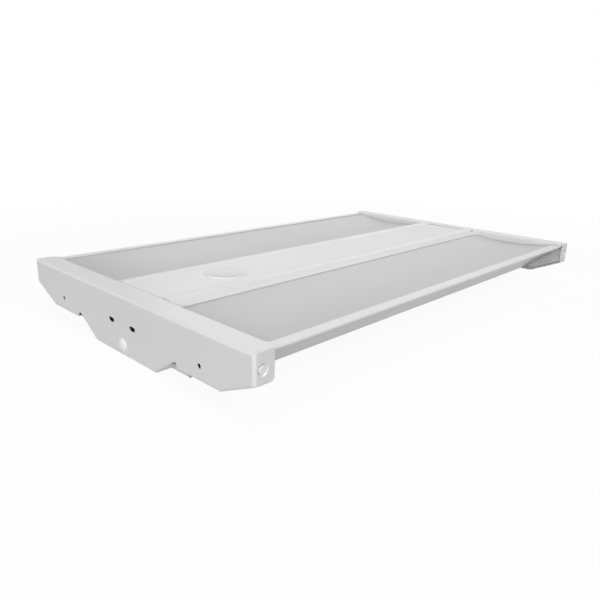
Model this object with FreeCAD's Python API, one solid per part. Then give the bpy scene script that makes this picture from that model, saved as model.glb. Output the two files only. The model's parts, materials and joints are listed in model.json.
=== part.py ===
"""Two-foot linear LED high bay, lying lens side up on the flat back of its driver box.

X runs along the light, from the near end cap to the far one. Y runs across it, left is +Y.
Z is up, with zero on the surface that the light lies on. All sizes are in millimetres.
"""
import FreeCAD
import Part
import math
import os

V = FreeCAD.Vector

# Overall
LENGTH = 600.0
WIDTH = 365.0
CAP_HEIGHT = 59.0

# Sheet and seats
CAP_T = 1.0
SHEET_T = 0.8
SHEET_BEND = 1.2          # inside radius of the cover's and the box's bends
FINE_BEND = 0.6           # inside radius of the housing's and the rails' bends
SEAT = 0.2                # gap between sheets that slide over each other
END_GAP = 0.3             # gap between two pieces that meet end to end
SLIT = 0.4                # open seam between two neighbouring flanges
SEAM_DASH = 3.2           # open length of the corner seam between two tack welds
SEAM_DASHES = 3
HOLE_CLEAR = 0.15         # radial clearance of a screw in its hole

# End caps
CAP_BEND = 3.0            # outside radius of the folds
TOP_FLANGE = 24.0
SIDE_FLANGE = 20.0
BOX_FLANGE = 16.0         # depth of the flanges round the foot
SIDE_HEIGHT = 26.0
SIDE_CORNER = 3.5
WING_RISE = 15.0          # height of the wings' lower edge
CHAMFER_Y = 142.5
NOTCH_Y = 84.0
NOTCH_RISE = 20.5
NOTCH_LEAN = 2.0
WING_TIP_R = 6.0
FOOT_HALF = 52.0
LIP_DEPTH_GAP = 0.1       # between the return lip and what it follows
RETURN_BEND = 1.6
SLOT_LENGTH = 9.5
SLOT_WIDTH = 4.5
SLOT_Y = 18.3
SLOT_Z = 31.6
SIDE_HOLE_R = 2.25
SIDE_HOLE_Y = 117.7
SIDE_HOLE_Z = 29.0
DIMPLE_INSET = 8.5
DIMPLE_Z = 44.5
DIMPLE_R = 5.2
DIMPLE_FLOOR_R = 3.8
DIMPLE_DEPTH = 1.4
BRACKET_WIDTH = 14.0      # welded brackets behind the dimples
BRACKET_LEG = 14.0
BRACKET_BELOW = 7.0

# Housing
LIP_WIDTH = 10.5
STEP_WIDTH = 2.8          # ledge under the lens's outer edge
FLOOR_HALF = 129.5
OPENING_HALF = 42.0
OPENING_MARGIN = 27.0     # floor left between the opening and each end

# Lenses
LENS_T = 1.5
LENS_SLACK = 0.1          # room for the lens in its channels
LENS_SAG = 4.2
LENS_END_GAP = 2.0
LENS_MARGIN = 8.0         # flat edge held in the outer channel

# Lens rails
RAIL_HALF = 44.0          # inner face of the rails' walls
RAIL_FOOT_INSET = 10.0    # from the foot's edge to the driver box's side
RAIL_TOP = 4.2
RAIL_SLOPE_RUN = 5.0
RAIL_SLOPE_DROP = 2.6
TAB_WIDTH = 12.0
TAB_REACH = 6.0
TAB_PITCH = 112.0
TABS = 5

# Driver cover
COVER_HALF = 47.5
COVER_RISE = 1.4          # panel's top above the rails
BEAD_R = 17.0             # outer radius of the rounded bead down each side
BEAD_RISE = 1.4           # bead's crown above the panel
COVER_NEAR_GAP = 0.4
COVER_FAR_GAP = 4.0
COVER_END_DROP = 9.0
COVER_END_HALF = 29.0
SENSOR_INSET = 122.0      # from the near end cap's face to the hole's middle
SENSOR_HOLE_R = 19.0
SENSOR_RIM_R = 22.5
SENSOR_RIM_T = 1.0
SENSOR_DISC_T = 0.5
SENSOR_SKIRT = 7.0
CLIP_T = 0.6
CLIP_WIDTH = 14.0
CLIP_DROP = 12.0
CLIP_REACH = 20.0
CLIP_X = 190.0
CLIP_CURL = 3.0

# Driver box
BOX_HALF = 82.0
BOX_LIP = 22.0            # inward flange against the housing
ENTRY_INSET = 75.0        # from the near end cap's face
ENTRY_R = 11.1

# LED boards
BOARD_END_MARGIN = 18.0   # from a board's end to the end cap's face
BOARD_WIDTH = 40.0
BOARD_T = 1.6
BOARD_Y = 100.0
BOARD_GAP = 4.0
CHIP_SIZE = 3.5
CHIP_T = 0.7
CHIP_PITCH = 22.0
CHIPS_IN_ROW = 12
CHIP_ROW_Y = 10.0
LINK_SIZE = (18.0, 8.0, 4.0)
CONNECTOR_SIZE = (12.0, 8.0, 6.0)

# Driver, terminals and leads
DRIVER_LENGTH = 240.0
DRIVER_WIDTH = 60.0
DRIVER_HEIGHT = 30.0
DRIVER_X = 10.0
DRIVER_FOOT = 12.0
DRIVER_FOOT_T = 1.2
DRIVER_EDGE = 2.0
STUD_R = 2.0
STUD_HEIGHT = 6.0
EARTH_INSET = 34.0        # from the driver box's near end
EARTH_Y = 28.0
NUT_FLATS = 7.0
NUT_HEIGHT = 3.2
TERMINAL_SIZE = (24.0, 34.0, 15.0)
TERMINAL_INSET = 120.0    # from the near end cap's face
TERMINAL_Y = 14.0
TERMINAL_WAYS = 3
TERMINAL_HOLE_R = 2.6
MAINS_LEAD_R = 3.2
OUTPUT_LEAD_R = 2.0
OUTPUT_LEAD_Y = 14.0
OUTPUT_LEAD_Z = 18.0
OUTPUT_LEAD_RUN = 14.0    # straight run before the leads turn up and out
OUTPUT_LEAD_OUT = 28.0    # from the driver's end to where the leads go through the rails
LEAD_BEND = 5.0
LEAD_SIDES = 8
GROMMET_Z = 32.0
GROMMET_R = 5.0
GROMMET_LIP = 1.6

# Fasteners
SCREW_R = 1.5
SCREW_HEAD_R = 2.8
SCREW_CROWN_R = 2.2       # flat on top of the head
SCREW_HEAD_T = 1.6
SCREW_TIP = 1.5           # how far a screw comes out behind the last sheet
CORNER_SCREW_R = 2.0
CORNER_HEAD_R = 3.3
CORNER_CROWN_R = 2.4
CORNER_HEAD_T = 1.3
CORNER_SCREW_LENGTH = 6.0
BOARD_SCREW_X = 110.0
FRAME_SCREWS = 3          # along each side
FRAME_SCREW_MARGIN = 44.0  # from the driver box's end to the first of them
FRAME_SCREW_INSET = 14.0  # from the box's side wall
CAP_SCREW_Y = 118.0
CAP_SCREW_INSET = 11.0

# Hole plugs
PLUG_Z = 11.0
PLUG_R = 7.0
PLUG_HOLE_R = 5.0
PLUG_DOME = 3.0
PLUG_RIM = 0.8
PLUG_STEM = 7.0

# Worked out from the sizes above
END = LENGTH / 2
SIDE = WIDTH / 2
PLATE = END - CAP_T                       # inner face of the caps' plates
SEAM_Z = CAP_HEIGHT - CAP_T - SEAT        # top of every sheet that runs under the caps' top flange
FLOOR_Z = WING_RISE + CAP_T + SEAT        # underside of the housing's floor
FLOOR_TOP = FLOOR_Z + SHEET_T
SKIRT_Y = SIDE - CAP_T - DIMPLE_DEPTH     # outer face of the housing's lip
STEP_Z = SEAM_Z - 2 * SHEET_T - LENS_T - LENS_SLACK
SLOPE_Y = SKIRT_Y - STEP_WIDTH
BODY_END = END - CAP_BEND                 # long pieces stop where the caps' folds begin
BOX_END = END - BOX_FLANGE - END_GAP
LENS_OUT_Z = STEP_Z + SHEET_T             # underside of the lens at its outer edge
LENS_OUT_Y = SKIRT_Y - SHEET_T - FINE_BEND
RAIL_EDGE_Y = RAIL_HALF + RAIL_TOP + RAIL_SLOPE_RUN
RAIL_EDGE_Z = SEAM_Z - SHEET_T - RAIL_SLOPE_DROP
LENS_IN_Z = RAIL_EDGE_Z - LENS_SLACK - LENS_T
LENS_IN_Y = RAIL_HALF + SHEET_T + FINE_BEND
COVER_TOP = SEAM_Z + COVER_RISE
BOX_TOP = FLOOR_Z                         # the box's flange lies against the housing's underside
FRAME_SCREW_Y = BOX_HALF - FRAME_SCREW_INSET
BOARD_LENGTH = END - BOARD_END_MARGIN - BOARD_GAP / 2
SENSOR_X = SENSOR_INSET - END
ENTRY_X = ENTRY_INSET - END
EARTH_X = EARTH_INSET - BOX_END
TERMINAL_X = TERMINAL_INSET - END


# ---- Helpers -------------------------------------------------------------------------------------

def box(x0, x1, y0, y1, z0, z1):
    """A box between two limits on each axis."""
    return Part.makeBox(x1 - x0, y1 - y0, z1 - z0, V(x0, y0, z0))


def both_sides(shape):
    """The shape and its mirror image across the light's long centre plane."""
    return [shape, shape.mirror(V(0, 0, 0), V(0, 1, 0))]


def both_ends(shape):
    """The shape and its mirror image from one end of the light to the other."""
    return [shape, shape.mirror(V(0, 0, 0), V(1, 0, 0))]


def four_corners(shape):
    """The shape at each of the light's four corners."""
    return [copy for end in both_ends(shape) for copy in both_sides(end)]


def cut_all(shape, tools):
    """The shape less a list of tools."""
    return shape.cut(Part.makeCompound(tools)) if tools else shape


def group(shapes):
    """Separate like pieces in one node."""
    return Part.makeCompound(shapes)


def rounded_path(points, radii):
    """Edges through a list of points, each corner rounded by its radius."""
    edges = []
    start = points[0]
    for before, corner, after, radius in zip(points, points[1:], points[2:], radii):
        way_in = (corner - before).normalize()
        way_out = (after - corner).normalize()
        turn = way_in.getAngle(way_out)
        if radius <= 0 or turn < 1e-6:
            edges.append(Part.LineSegment(start, corner).toShape())
            start = corner
            continue
        tangent = radius * math.tan(turn / 2)
        first = corner - way_in * tangent
        last = corner + way_out * tangent
        inward = (way_out - way_in).normalize()
        middle = corner + inward * (radius / math.cos(turn / 2) - radius)
        if (first - start).Length > 1e-6:
            edges.append(Part.LineSegment(start, first).toShape())
        edges.append(Part.Arc(first, middle, last).toShape())
        start = last
    if (points[-1] - start).Length > 1e-6:
        edges.append(Part.LineSegment(start, points[-1]).toShape())
    return edges


def offset_corners(points, distance):
    """The points of a path moved to its left by a distance, in the plane of their two numbers."""
    moved = []
    for i, (u, v) in enumerate(points):
        normals = []
        for a, b in ((i - 1, i), (i, i + 1)):
            if 0 <= a and b < len(points):
                du, dv = points[b][0] - points[a][0], points[b][1] - points[a][1]
                size = math.hypot(du, dv)
                normals.append((-dv / size, du / size))
        n0, n1 = normals[0], normals[-1]
        scale = distance / (1 + n0[0] * n1[0] + n0[1] * n1[1])
        if len(normals) == 1:
            scale = distance / 2
        moved.append((u + (n0[0] + n1[0]) * scale, v + (n0[1] + n1[1]) * scale))
    return moved


def turns_left(points, i):
    """Whether a path turns left at one of its corners."""
    (au, av), (bu, bv), (cu, cv) = points[i - 1], points[i], points[i + 1]
    return (bu - au) * (cv - bv) - (bv - av) * (cu - bu) > 0


def folded_section(points, thickness, bend, place):
    """The cut face of a folded sheet. Its thickness lies to the left of the path."""
    inner = offset_corners(points, thickness)
    near_radii = []
    far_radii = []
    for i in range(1, len(points) - 1):
        left = turns_left(points, i)
        near_radii.append(bend + thickness if left else bend)
        far_radii.append(bend if left else bend + thickness)
    near = rounded_path([place(*p) for p in points], near_radii)
    far = rounded_path([place(*p) for p in inner], far_radii)
    ends = [
        Part.LineSegment(place(*points[-1]), place(*inner[-1])).toShape(),
        Part.LineSegment(place(*inner[0]), place(*points[0])).toShape(),
    ]
    return Part.Face(Part.Wire(Part.__sortEdges__(near + far + ends)))


def across(x):
    """Places a (y, z) point in the plane that crosses the light at x."""
    return lambda y, z: V(x, y, z)


def along(y):
    """Places an (x, z) point in the plane that runs along the light at y."""
    return lambda x, z: V(x, y, z)


def polygon(points):
    """A flat face with straight edges."""
    return Part.Face(Part.makePolygon(points + [points[0]]))


def upright(radius, height, x, y, z):
    """A cylinder that stands at (x, y) from z upwards."""
    return Part.makeCylinder(radius, height, V(x, y, z))


def turned(profile, origin, axis, side):
    """A body turned from (radius, height) points about an axis."""
    points = [origin + side * r + axis * h for r, h in profile]
    return polygon(points).revolve(origin, axis, 360)


# ---- Lens, and the shapes that follow it ---------------------------------------------------------

def lens_arc(offset):
    """Ends and middle of the lens's lower arc, moved up by an offset."""
    inner = (LENS_IN_Y + LENS_MARGIN, LENS_IN_Z)
    outer = (LENS_OUT_Y - LENS_MARGIN, LENS_OUT_Z)
    middle = ((inner[0] + outer[0]) / 2, (inner[1] + outer[1]) / 2 - LENS_SAG)
    return [(y, z + offset) for y, z in (inner, middle, outer)]


def lens_edge(x, offset):
    """The lens's cross outline at one height: flat margin, arc, flat margin."""
    place = across(x)
    inner, middle, outer = [place(*p) for p in lens_arc(offset)]
    start = place(LENS_IN_Y, inner.z)
    end = place(LENS_OUT_Y, outer.z)
    return start, end, [
        Part.LineSegment(start, inner).toShape(),
        Part.Arc(inner, middle, outer).toShape(),
        Part.LineSegment(outer, end).toShape(),
    ]


def lens():
    """Frosted sheet, dished between its two held edges."""
    x = -PLATE + LENS_END_GAP
    low_start, low_end, low = lens_edge(x, 0)
    high_start, high_end, high = lens_edge(x, LENS_T)
    ends = [
        Part.LineSegment(low_start, high_start).toShape(),
        Part.LineSegment(low_end, high_end).toShape(),
    ]
    face = Part.Face(Part.Wire(Part.__sortEdges__(low + high + ends)))
    return face.extrude(V(-2 * x, 0, 0))


# ---- Housing and lens rails ----------------------------------------------------------------------

def housing():
    """One folded sheet: lips, ledges, sloping sides and a flat floor open to the driver box."""
    half = [
        (SKIRT_Y - LIP_WIDTH, SEAM_Z),
        (SKIRT_Y, SEAM_Z),
        (SKIRT_Y, STEP_Z),
        (SLOPE_Y, STEP_Z),
        (FLOOR_HALF, FLOOR_Z),
    ]
    section = half + [(-y, z) for y, z in reversed(half)]
    section.reverse()
    face = folded_section(section, SHEET_T, FINE_BEND, across(-BODY_END))
    sheet = face.extrude(V(2 * BODY_END, 0, 0))
    reach = BODY_END - OPENING_MARGIN
    opening = box(-reach, reach, -OPENING_HALF, OPENING_HALF, FLOOR_Z - 1, FLOOR_TOP + 1)
    return cut_all(sheet, [opening] + screw_holes(FLOOR_Z, SHEET_T))


def tab_places():
    """Where the lens tabs stand along a rail."""
    return [(i - (TABS - 1) / 2) * TAB_PITCH for i in range(TABS)]


def rail_crown():
    """Underside of a rail's top and sloping lip, from its wall outwards."""
    wall = RAIL_HALF + SHEET_T
    return [
        (wall, SEAM_Z - SHEET_T),
        (wall + RAIL_TOP - SHEET_T, SEAM_Z - SHEET_T),
        (RAIL_EDGE_Y, RAIL_EDGE_Z),
    ]


def lens_rail():
    """Folded rail on the left: foot, wall and sloping lip, with tabs pressed out under the lens."""
    wall = RAIL_HALF + SHEET_T
    section = [(BOX_HALF - RAIL_FOOT_INSET, FLOOR_TOP + SHEET_T), (wall, FLOOR_TOP + SHEET_T)]
    section += rail_crown()
    rail = folded_section(section, SHEET_T, FINE_BEND, across(-BODY_END)).extrude(V(2 * BODY_END, 0, 0))
    windows = []
    tabs = []
    for x in tab_places():
        x0, x1 = x - TAB_WIDTH / 2, x + TAB_WIDTH / 2
        windows.append(box(x0, x1, RAIL_HALF - 1, wall + 1, LENS_IN_Z - SHEET_T - TAB_REACH,
                           LENS_IN_Z - SHEET_T))
        tabs.append(box(x0, x1, RAIL_HALF, wall + TAB_REACH, LENS_IN_Z - SHEET_T, LENS_IN_Z))
    holes = [grommet_bore(GROMMET_R)] + screw_holes(FLOOR_TOP, SHEET_T)
    return cut_all(rail, windows + holes).multiFuse(tabs).removeSplitter()


# ---- Fasteners -----------------------------------------------------------------------------------

def board_screw_places():
    """Middle of each board screw, on all four boards."""
    places = []
    for centre in (-board_centre(), board_centre()):
        for x in (centre - BOARD_SCREW_X, centre + BOARD_SCREW_X):
            places += [(x, BOARD_Y), (x, -BOARD_Y)]
    return places


def frame_screw_places():
    """Middle of each screw through rail, housing and driver box."""
    first = FRAME_SCREW_MARGIN - BOX_END
    pitch = -2 * first / (FRAME_SCREWS - 1)
    return [(first + i * pitch, side * FRAME_SCREW_Y) for i in range(FRAME_SCREWS) for side in (1, -1)]


def cap_screw_places():
    """Middle of each screw through an end cap's wing into the housing's floor."""
    x = END - CAP_SCREW_INSET
    return [(sx * x, sy * CAP_SCREW_Y) for sx in (-1, 1) for sy in (-1, 1)]


def screw_holes(z, thickness):
    """Every upright screw hole, as tools through a sheet at one height."""
    places = board_screw_places() + frame_screw_places() + cap_screw_places()
    return [upright(SCREW_R + HOLE_CLEAR, thickness + 2, x, y, z - 1) for x, y in places]


def pan_screw(x, y, seat, grip, direction):
    """Pan-head screw with its head on a seat and its shank going the other way."""
    tip = grip + SCREW_TIP
    profile = [
        (0, SCREW_HEAD_T),
        (SCREW_CROWN_R, SCREW_HEAD_T),
        (SCREW_HEAD_R, 0),
        (SCREW_R, 0),
        (SCREW_R, -tip),
        (0, -tip),
    ]
    return turned(profile, V(x, y, seat), V(0, 0, direction), V(1, 0, 0))


def board_screws():
    """Screws that hold the boards down to the housing."""
    seat = FLOOR_TOP + BOARD_T
    return group([pan_screw(x, y, seat, BOARD_T + SHEET_T, 1) for x, y in board_screw_places()])


def frame_screws():
    """Screws through the rails' feet, the housing and the driver box's flange."""
    seat = FLOOR_TOP + SHEET_T
    return group([pan_screw(x, y, seat, 3 * SHEET_T, 1) for x, y in frame_screw_places()])


def cap_screws():
    """Screws up through the caps' wings into the housing."""
    grip = CAP_T + SEAT + SHEET_T
    return group([pan_screw(x, y, WING_RISE, grip, -1) for x, y in cap_screw_places()])


def corner_screws():
    """Low-headed screws in the dimples of the caps' sides."""
    profile = [
        (0, 0),
        (CORNER_CROWN_R, 0),
        (CORNER_HEAD_R, -CORNER_HEAD_T / 2),
        (CORNER_HEAD_R, -CORNER_HEAD_T),
        (CORNER_SCREW_R, -CORNER_HEAD_T),
        (CORNER_SCREW_R, -CORNER_SCREW_LENGTH),
        (0, -CORNER_SCREW_LENGTH),
    ]
    origin = V(END - DIMPLE_INSET, SIDE - DIMPLE_DEPTH + CORNER_HEAD_T, DIMPLE_Z)
    return group(four_corners(turned(profile, origin, V(0, 1, 0), V(1, 0, 0))))


def end_brackets():
    """Folded brackets welded under the slopes, one behind each corner screw."""
    slope = V(0, SLOPE_Y - FLOOR_HALF, STEP_Z - FLOOR_Z).normalize()
    foot = V(0, SLOPE_Y, STEP_Z) - slope * BRACKET_LEG
    section = [
        (SKIRT_Y, DIMPLE_Z - BRACKET_BELOW),
        (SKIRT_Y, STEP_Z),
        (SLOPE_Y, STEP_Z),
        (foot.y, foot.z),
    ]
    x = END - DIMPLE_INSET - BRACKET_WIDTH / 2
    bracket = folded_section(section, CAP_T, FINE_BEND / 2, across(x)).extrude(V(BRACKET_WIDTH, 0, 0))
    start = V(END - DIMPLE_INSET, SKIRT_Y - DIMPLE_R / 2, DIMPLE_Z)
    hole = Part.makeCylinder(CORNER_SCREW_R + HOLE_CLEAR, DIMPLE_R, start, V(0, 1, 0))
    return group(four_corners(bracket.cut(hole)))


# ---- End caps ------------------------------------------------------------------------------------

def cap_outline(inset):
    """Outline of the cap, or of its inner faces, as a closed list of (y, z) points."""
    half = [
        (SIDE, CAP_HEIGHT),
        (SIDE, CAP_HEIGHT - SIDE_HEIGHT),
        (CHAMFER_Y, WING_RISE),
        (NOTCH_Y + NOTCH_LEAN, WING_RISE),
        (NOTCH_Y, NOTCH_RISE),
        (FOOT_HALF, 0),
    ]
    points = half + [(-y, z) for y, z in reversed(half)]
    points.reverse()
    if inset == 0:
        return points
    ring = [points[-1]] + points + [points[0]]
    return offset_corners(ring, inset)[1:-1]


def folded_block(inset, depth, bend):
    """The cap's outline carried inwards from its outer face, with every fold rounded."""
    x = -END + inset
    block = polygon([V(x, y, z) for y, z in cap_outline(inset)]).extrude(V(depth, 0, 0))
    folds = []
    for edge in block.Edges:
        middle = edge.CenterOfMass
        beside = NOTCH_Y - inset < abs(middle.y) < NOTCH_Y + NOTCH_LEAN + inset
        in_notch = beside and middle.z < NOTCH_RISE + inset
        if abs(middle.x - x) < 1e-6 and not in_notch:
            folds.append(edge)
    return block.makeFillet(bend, folds)


def foot_flange_end():
    """How far out the flange up the foot's side runs before it would meet the housing's floor."""
    slope = NOTCH_RISE / (NOTCH_Y - FOOT_HALF)
    sheet_rise = CAP_T * math.hypot(1, slope)
    return FOOT_HALF + (WING_RISE + CAP_T - sheet_rise) / slope


def flange_trims():
    """Tools that cut the cap's flanges back to their own depths."""
    past = -END + TOP_FLANGE + 1
    below = CAP_HEIGHT - CAP_T
    tip = NOTCH_Y + NOTCH_LEAN + WING_TIP_R
    tools = [
        box(-END + SIDE_FLANGE, past, -SIDE - 1, SIDE + 1, -1, below),
        box(-END + BOX_FLANGE, past, -NOTCH_Y, NOTCH_Y, -1, NOTCH_RISE + CAP_T),
    ]
    step = TOP_FLANGE - SIDE_FLANGE
    x = -END + SIDE_FLANGE
    low = below - SLIT
    snip = polygon([V(x, SIDE - CAP_T, low), V(x + step + 1, SIDE - CAP_T - step - 1, low),
                    V(x + step + 1, SIDE + 1, low), V(x, SIDE + 1, low)])
    tools += both_sides(snip.extrude(V(0, 0, 2 * CAP_T)))
    relief = box(-PLATE, past, foot_flange_end(), tip, -1, NOTCH_RISE + CAP_BEND)
    tip_block = box(-END - 1, past, NOTCH_Y, tip, WING_RISE - 1, WING_RISE + WING_TIP_R)
    round_tip = Part.makeCylinder(WING_TIP_R, TOP_FLANGE + 3, V(-END - 1, tip, WING_RISE + WING_TIP_R),
                                  V(1, 0, 0))
    tools += both_sides(relief) + both_sides(tip_block.cut(round_tip))
    return tools


def flange_slits():
    """Open seams and relief holes where two flanges meet."""
    start = -END + CAP_BEND
    past = -END + TOP_FLANGE + 1
    side_low = CAP_HEIGHT - SIDE_HEIGHT
    half = SLIT / 2
    seam = SIDE - CAP_T
    side = box(start, past, SIDE - 2 * CAP_T, SIDE + 1, side_low - half, side_low + half)
    wing = box(start, past, CHAMFER_Y - half, CHAMFER_Y + half, WING_RISE - 1, WING_RISE + 2 * CAP_T)
    foot = box(start, past, FOOT_HALF - half, FOOT_HALF + half, -1, 2 * CAP_T)
    tools = []
    for tool in (side, wing, foot):
        tools += both_sides(tool)
    pitch = (SIDE_FLANGE - CAP_BEND) / SEAM_DASHES
    for i in range(SEAM_DASHES):
        x = start + (i + 0.5) * pitch
        dash = box(x - SEAM_DASH / 2, x + SEAM_DASH / 2, seam - SLIT, seam, CAP_HEIGHT - 2 * CAP_T,
                   CAP_HEIGHT + 1)
        tools += both_sides(dash)
    return tools


def slot(y, z):
    """Hook slot through the cap's plate, long way across the light."""
    half = (SLOT_LENGTH - SLOT_WIDTH) / 2
    x = -END - 1
    tool = box(x, x + CAP_T + 2, y - half, y + half, z - SLOT_WIDTH / 2, z + SLOT_WIDTH / 2)
    ends = [Part.makeCylinder(SLOT_WIDTH / 2, CAP_T + 2, V(x, y + s * half, z), V(1, 0, 0)) for s in (-1, 1)]
    return tool.multiFuse(ends)


def plate_hole(radius, y, z):
    """Round hole through the cap's plate."""
    return Part.makeCylinder(radius, CAP_T + 2, V(-END - 1, y, z), V(1, 0, 0))


def dimple():
    """Pressed cup in the cap's side that sinks a screw's head. Heights run outwards from the face."""
    profile = [
        (DIMPLE_R, 0),
        (DIMPLE_FLOOR_R, -DIMPLE_DEPTH),
        (CORNER_SCREW_R + HOLE_CLEAR, -DIMPLE_DEPTH),
        (CORNER_SCREW_R + HOLE_CLEAR, -DIMPLE_DEPTH - CAP_T),
        (DIMPLE_FLOOR_R + CAP_T / 2, -DIMPLE_DEPTH - CAP_T),
        (DIMPLE_R, -DIMPLE_DEPTH - CAP_T / 2),
    ]
    return turned(profile, V(-END + DIMPLE_INSET, SIDE, DIMPLE_Z), V(0, 1, 0), V(1, 0, 0))


def return_lip():
    """Lip turned down from the top flange's inner edge. Its lower edge follows the lens."""
    inner = COVER_HALF + END_GAP
    outer = SKIRT_Y - LIP_WIDTH - END_GAP
    edge = -END + TOP_FLANGE
    low = min(LENS_IN_Z, LENS_OUT_Z) - LENS_SAG
    section = [(edge, low), (edge, CAP_HEIGHT), (edge - CAP_BEND, CAP_HEIGHT)]
    lip = folded_section(section, CAP_T, RETURN_BEND - CAP_T, along(inner)).extrude(V(0, outer - inner, 0))
    x = edge - TOP_FLANGE / 2
    start, end, arc = lens_edge(x, LENS_T + LIP_DEPTH_GAP)
    floor_in = V(x, start.y, low - 1)
    floor_out = V(x, end.y, low - 1)
    arc.append(Part.LineSegment(end, floor_out).toShape())
    arc.append(Part.LineSegment(floor_out, floor_in).toShape())
    arc.append(Part.LineSegment(floor_in, start).toShape())
    over_lens = Part.Face(Part.Wire(Part.__sortEdges__(arc))).extrude(V(TOP_FLANGE, 0, 0))
    slope = offset_corners(rail_crown(), SHEET_T + LIP_DEPTH_GAP)
    slope += [(slope[-1][0], low - 1), (slope[0][0], low - 1)]
    over_rail = polygon([V(x, y, z) for y, z in slope]).extrude(V(TOP_FLANGE, 0, 0))
    return cut_all(lip, [over_lens, over_rail])


def end_cap():
    """Folded sheet cap at the near end: plate, flanges all round, lens lips, slots and dimples."""
    block = folded_block(0, TOP_FLANGE, CAP_BEND)
    hollow = folded_block(CAP_T, TOP_FLANGE, CAP_BEND - CAP_T)
    edge = -END + TOP_FLANGE
    lip = return_lip()
    lip_box = lip.BoundBox
    lip_seat = box(edge - RETURN_BEND, edge + 1, lip_box.YMin, lip_box.YMax, CAP_HEIGHT - 2 * CAP_T,
                   CAP_HEIGHT + 1)
    wells = Part.makeCylinder(DIMPLE_R, 3 * CAP_T, V(-END + DIMPLE_INSET, SIDE - 2 * CAP_T, DIMPLE_Z),
                              V(0, 1, 0))
    tools = [hollow] + flange_trims() + flange_slits() + both_sides(lip_seat) + both_sides(wells)
    tools += [slot(SLOT_Y, SLOT_Z), slot(-SLOT_Y, SLOT_Z), plate_hole(PLUG_HOLE_R, 0, PLUG_Z)]
    tools += [plate_hole(SIDE_HOLE_R, y, SIDE_HOLE_Z) for y in (-SIDE_HOLE_Y, SIDE_HOLE_Y)]
    tools += [hole for hole in screw_holes(WING_RISE, CAP_T) if hole.BoundBox.XMax < -END + SIDE_FLANGE]
    shell = cut_all(block, tools)
    cap = shell.multiFuse(both_sides(lip) + both_sides(dimple())).removeSplitter()
    corner_x = -END + SIDE_FLANGE - SIDE_CORNER
    corner_z = CAP_HEIGHT - SIDE_HEIGHT + SIDE_CORNER
    corner = box(corner_x, corner_x + SIDE_CORNER + 1, SIDE - 2 * CAP_T, SIDE + 1,
                 corner_z - SIDE_CORNER - 1, corner_z)
    rounding = Part.makeCylinder(SIDE_CORNER, 4 * CAP_T, V(corner_x, SIDE - 3 * CAP_T, corner_z),
                                 V(0, 1, 0))
    return cut_all(cap, both_sides(corner.cut(rounding)))


def hole_plug():
    """Snap-in plug with a domed head, in the hole at the foot of the near cap."""
    rise = PLUG_DOME - PLUG_RIM
    sphere = (PLUG_R ** 2 + rise ** 2) / (2 * rise)
    centre = V(-END - PLUG_DOME + sphere, 0, PLUG_Z)
    head = Part.makeCylinder(PLUG_R, PLUG_DOME, V(-END, 0, PLUG_Z), V(-1, 0, 0))
    head = head.common(Part.makeSphere(sphere, centre))
    stem = Part.makeCylinder(PLUG_HOLE_R - HOLE_CLEAR, PLUG_STEM, V(-END, 0, PLUG_Z), V(1, 0, 0))
    hollow = Part.makeCylinder(PLUG_HOLE_R - CAP_T, PLUG_STEM, V(-END + CAP_T, 0, PLUG_Z), V(1, 0, 0))
    return head.fuse(stem).cut(hollow)


# ---- Driver cover --------------------------------------------------------------------------------

def cover_edges(x, inset):
    """Upper or lower cross outline of the cover: panel between two long beads."""
    place = across(x)
    radius = BEAD_R - inset
    crown = COVER_TOP + BEAD_RISE - inset
    centre_z = crown - radius
    level = COVER_TOP - inset
    reach_in = math.sqrt(radius ** 2 - (level - centre_z) ** 2)
    centre = COVER_HALF - math.sqrt(BEAD_R ** 2 - (SEAM_Z - centre_z) ** 2)
    foot = centre + math.sqrt(radius ** 2 - (SEAM_Z - centre_z) ** 2)
    edges = []
    for s in (-1, 1):
        edges.append(Part.Arc(place(s * (centre - reach_in), level), place(s * centre, crown),
                              place(s * foot, SEAM_Z)).toShape())
    edges.append(Part.LineSegment(place(reach_in - centre, level), place(centre - reach_in, level)).toShape())
    return edges, foot


def driver_cover():
    """Lift-off cover between the lenses, with a bead down each side and its ends turned down."""
    x0 = -END + TOP_FLANGE + COVER_NEAR_GAP
    x1 = END - TOP_FLANGE - COVER_FAR_GAP
    place = across(x0)
    outer, outer_foot = cover_edges(x0, 0)
    inner, inner_foot = cover_edges(x0, SHEET_T)
    edges = outer + inner
    for s in (-1, 1):
        feet = place(s * outer_foot, SEAM_Z), place(s * inner_foot, SEAM_Z)
        edges.append(Part.LineSegment(*feet).toShape())
    sheet = Part.Face(Part.Wire(Part.__sortEdges__(edges))).extrude(V(x1 - x0, 0, 0))
    base = Part.LineSegment(place(-outer_foot, SEAM_Z), place(outer_foot, SEAM_Z)).toShape()
    closure = Part.Face(Part.Wire(Part.__sortEdges__(outer + [base]))).extrude(V(SHEET_T, 0, 0))
    closure = closure.cut(box(x0 - 1, x0 + 1, -COVER_END_HALF, COVER_END_HALF, SEAM_Z - 1, COVER_TOP + 1))
    bend = SHEET_BEND + SHEET_T
    low, high = COVER_TOP - COVER_END_DROP, COVER_TOP
    tools = [upright(SENSOR_HOLE_R, 3 * SHEET_T, SENSOR_X, 0, COVER_TOP - 2 * SHEET_T)]
    ends = []
    for x, inward in ((x0, 1), (x1, -1)):
        section = [(x, low), (x, high), (x + inward * bend, high)]
        if inward > 0:
            section.reverse()
        flap = folded_section(section, SHEET_T, SHEET_BEND, along(-COVER_END_HALF))
        ends.append(flap.extrude(V(0, 2 * COVER_END_HALF, 0)))
        tools.append(box(min(x - inward, x + inward * bend), max(x - inward, x + inward * bend),
                         -COVER_END_HALF, COVER_END_HALF, high - 2 * SHEET_T, high + 1))
    closures = [closure, closure.translated(V(x1 - x0 - SHEET_T, 0, 0))]
    return cut_all(sheet, tools).multiFuse(ends + closures).removeSplitter()


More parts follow.
